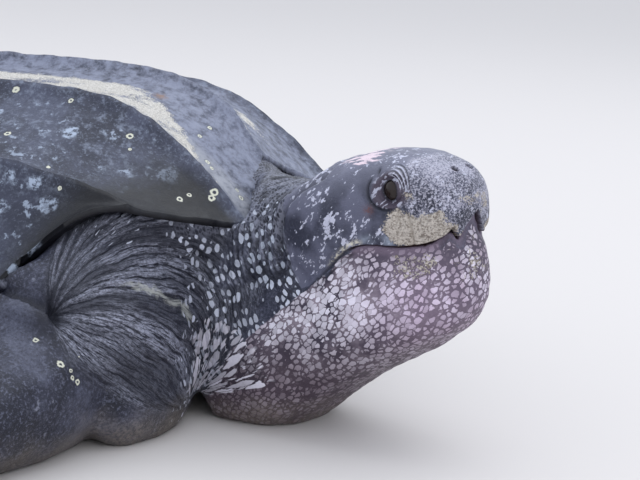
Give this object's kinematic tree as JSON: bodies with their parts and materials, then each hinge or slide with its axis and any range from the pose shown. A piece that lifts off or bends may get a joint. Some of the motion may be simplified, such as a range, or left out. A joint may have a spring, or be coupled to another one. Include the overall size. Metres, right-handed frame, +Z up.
{
  "type": "leatherback turtle",
  "caption": "Life-size leatherback turtle resting on the ground: ridged leathery carapace, raised head turned to its right, full throat and long swept-back front flippers.",
  "frame": {"origin": "middle of the length and width of the plastron's box, on its flat underside, which is the floor level", "axes": "+X towards the snout end of the body, +Y towards the animal's left, +Z up"},
  "size_m": [2.0262, 1.9409, 0.4851],
  "materials": {
    "shell_skin": "matte, dry leathery skin over the shell",
    "plastron_skin": "matte, pale pinkish underside",
    "dark_skin": "matte, wrinkled dark slate skin with pale spots",
    "throat_skin": "matte, pale pink and white patches in a dark net",
    "eye": "wet gloss"
  },
  "bodies": {
    "root": {"carapace": "shell_skin", "plastron": "plastron_skin", "trunk": "dark_skin", "tail": "dark_skin", "front_flipper_right": "dark_skin", "front_flipper_left": "dark_skin", "hind_flipper_right": "dark_skin", "hind_flipper_left": "dark_skin", "neck": "dark_skin", "head": "dark_skin", "throat": "throat_skin", "lower_jaw": "throat_skin", "eye_right": "eye", "eye_left": "eye"}
  },
  "joints": []
}
